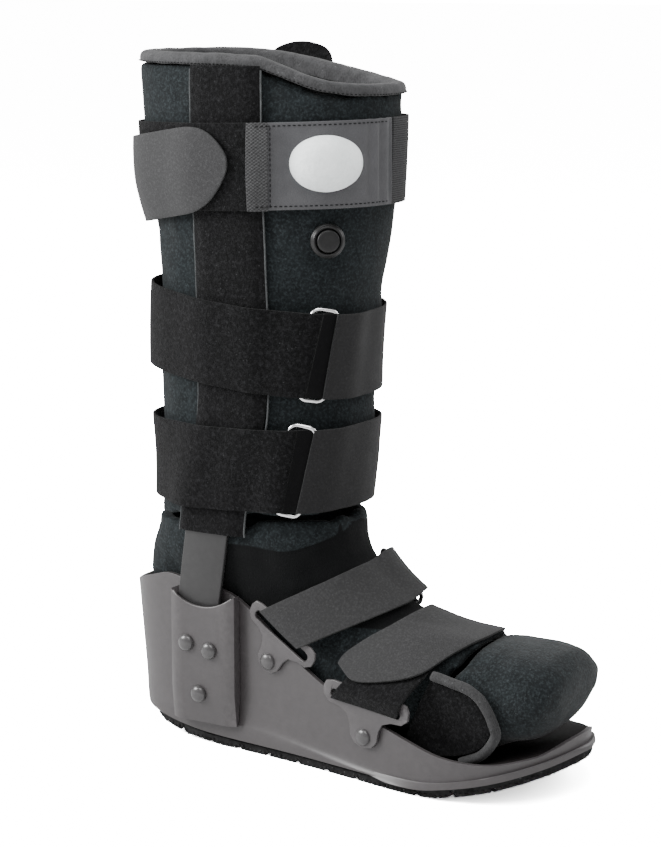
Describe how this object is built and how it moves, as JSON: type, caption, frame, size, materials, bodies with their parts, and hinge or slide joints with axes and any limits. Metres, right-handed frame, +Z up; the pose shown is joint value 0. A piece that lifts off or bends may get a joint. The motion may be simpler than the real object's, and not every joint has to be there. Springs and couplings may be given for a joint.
{
  "type": "offloading boot",
  "caption": "Tall padded walker boot with a rocker sole, grey heel shell, side uprights, hook straps, slotted brackets and an inflation bulb with valve.",
  "frame": {"origin": "on the flat of the tread, in the sole's middle plane", "axes": "+X towards the toe, +Y to the wearer's left, +Z up the leg"},
  "size_m": [0.3224, 0.1399, 0.4389],
  "materials": {
    "outsole_rubber": "moulded near-black tread rubber",
    "shell_plastic": "warm grey fine-grained moulding",
    "footbed_foam": "smooth dark foam",
    "liner_cloth": "black padded cloth with a faint teal tint",
    "binding_tape": "mid grey knitted edge tape",
    "loop_fabric": "fuzzy black loop cloth",
    "hook_fabric": "smooth dark grey strap",
    "painted_steel": "satin dark grey paint",
    "chrome": "bright chrome wire",
    "bulb_rubber": "smooth white rubber",
    "valve_plastic": "black moulding with a soft gloss"
  },
  "bodies": {
    "boot": {"outsole": "outsole_rubber", "foot_shell": "shell_plastic", "footbed": "footbed_foam", "liner_leg": "liner_cloth", "liner_foot": "liner_cloth", "toe_cap": "liner_cloth", "side_flap": "liner_cloth", "top_binding": "binding_tape", "side_flap_binding": "binding_tape", "upright_right": "painted_steel", "upright_left": "painted_steel", "sleeve_right": "loop_fabric", "sleeve_left": "loop_fabric", "channel_right": "shell_plastic", "channel_left": "shell_plastic", "top_band": "loop_fabric", "pump_pocket": "hook_fabric", "top_webbing": "hook_fabric", "webbing_patch": "hook_fabric", "top_hook_tab": "hook_fabric", "pump_bulb": "bulb_rubber", "mid_strap_loop": "loop_fabric", "mid_strap_hook": "hook_fabric", "mid_ring": "chrome", "low_strap_loop": "loop_fabric", "low_strap_hook": "hook_fabric", "low_ring": "chrome", "instep_strap_loop": "loop_fabric", "instep_strap": "hook_fabric", "instep_ring": "chrome", "toe_strap_loop": "loop_fabric", "toe_strap_tab": "hook_fabric", "valve_base": "valve_plastic", "channel_rivet_right_1": "painted_steel", "channel_rivet_right_2": "painted_steel", "channel_rivet_right_3": "painted_steel", "instep_bracket_right": "painted_steel", "instep_rivet_right": "painted_steel", "toe_bracket_right": "painted_steel", "toe_rivet_right": "painted_steel", "channel_rivet_left_1": "painted_steel", "channel_rivet_left_2": "painted_steel", "channel_rivet_left_3": "painted_steel", "instep_bracket_left": "painted_steel", "instep_rivet_left": "painted_steel", "toe_bracket_left": "painted_steel", "toe_rivet_left": "painted_steel"},
    "button": {"valve_button": "valve_plastic"}
  },
  "joints": [
    {"name": "valve_press", "type": "slide", "parent": "boot", "child": "button", "axis": [-0.658, 0.753, 0], "range_m": [0, 0.0014], "stiffness_N_per_m": 500}
  ]
}
